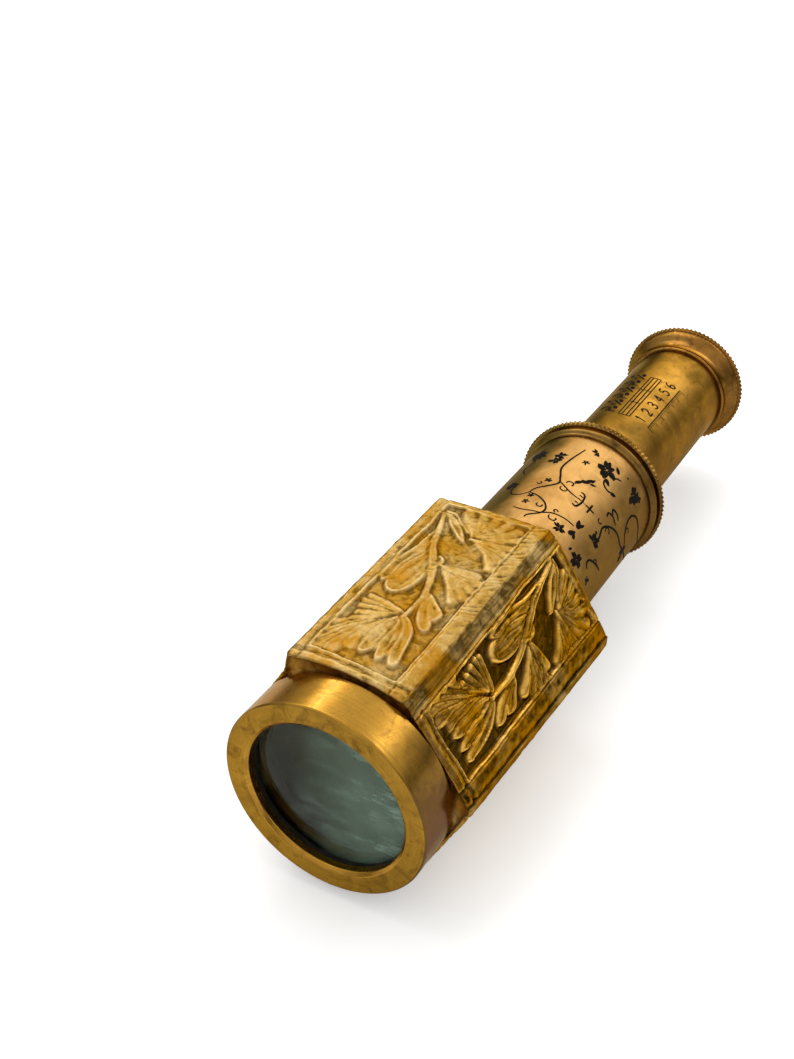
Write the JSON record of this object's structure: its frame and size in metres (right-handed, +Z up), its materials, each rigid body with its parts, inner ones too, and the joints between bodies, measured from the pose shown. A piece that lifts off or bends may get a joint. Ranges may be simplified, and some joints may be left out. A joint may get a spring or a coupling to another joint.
{
  "type": "spyglass",
  "caption": "Pocket spyglass with a cast hexagonal sleeve, two sliding draw tubes, a turned objective ring, a knurled collar and a flared knurled eyepiece cap.",
  "frame": {"origin": "centre of the bounding box at rest, on the plane of the sleeve's lower flat", "axes": "+X along the optical axis from the objective to the eyepiece, +Z up out of the sleeve's upper flat, +Y to the left of someone who looks through the eyepiece end towards the objective"},
  "size_m": [0.155, 0.0454, 0.0404],
  "materials": {
    "polished_brass": "turned and polished, slightly aged",
    "cast_brass": "cast, antiqued with a dark patina in the recesses",
    "engraved_brass": "drawn tube, warm brushed brass with black filled engraving",
    "plain_brass": "drawn tube, mottled aged brass",
    "dark_brass": "turned, brown patina",
    "inner_brass": "drawn tube, unpolished",
    "black_brass": "blackened matt",
    "objective_glass": "clear, faint grey-green",
    "eyepiece_glass": "clear"
  },
  "bodies": {
    "barrel": {"objective_bezel": "polished_brass", "objective_crown_lens": "objective_glass", "objective_flint_lens": "objective_glass", "objective_retaining_ring": "black_brass", "body_tube": "inner_brass", "embossed_sleeve": "cast_brass", "body_guide_bush": "dark_brass"},
    "middle_draw": {"middle_draw_tube": "engraved_brass", "middle_stop_ring": "inner_brass", "middle_baffle": "black_brass", "middle_collar": "polished_brass"},
    "eyepiece_draw": {"eyepiece_draw_tube": "plain_brass", "eyepiece_stop_ring": "inner_brass", "erector_tube": "inner_brass", "erector_front_lens": "eyepiece_glass", "erector_spacer": "black_brass", "erector_rear_lens": "eyepiece_glass", "erector_retaining_ring": "black_brass", "eyepiece_cell": "inner_brass", "field_lens": "eyepiece_glass", "eyepiece_spacer": "black_brass", "eye_lens": "eyepiece_glass", "eye_lens_retaining_ring": "black_brass", "eyepiece_cap": "dark_brass"}
  },
  "joints": [
    {"name": "middle_draw_slide", "type": "slide", "parent": "barrel", "child": "middle_draw", "axis": [1, 0, 0], "range_m": [-0.039, 0]},
    {"name": "eyepiece_draw_slide", "type": "slide", "parent": "middle_draw", "child": "eyepiece_draw", "axis": [1, 0, 0], "range_m": [-0.04, 0]}
  ]
}
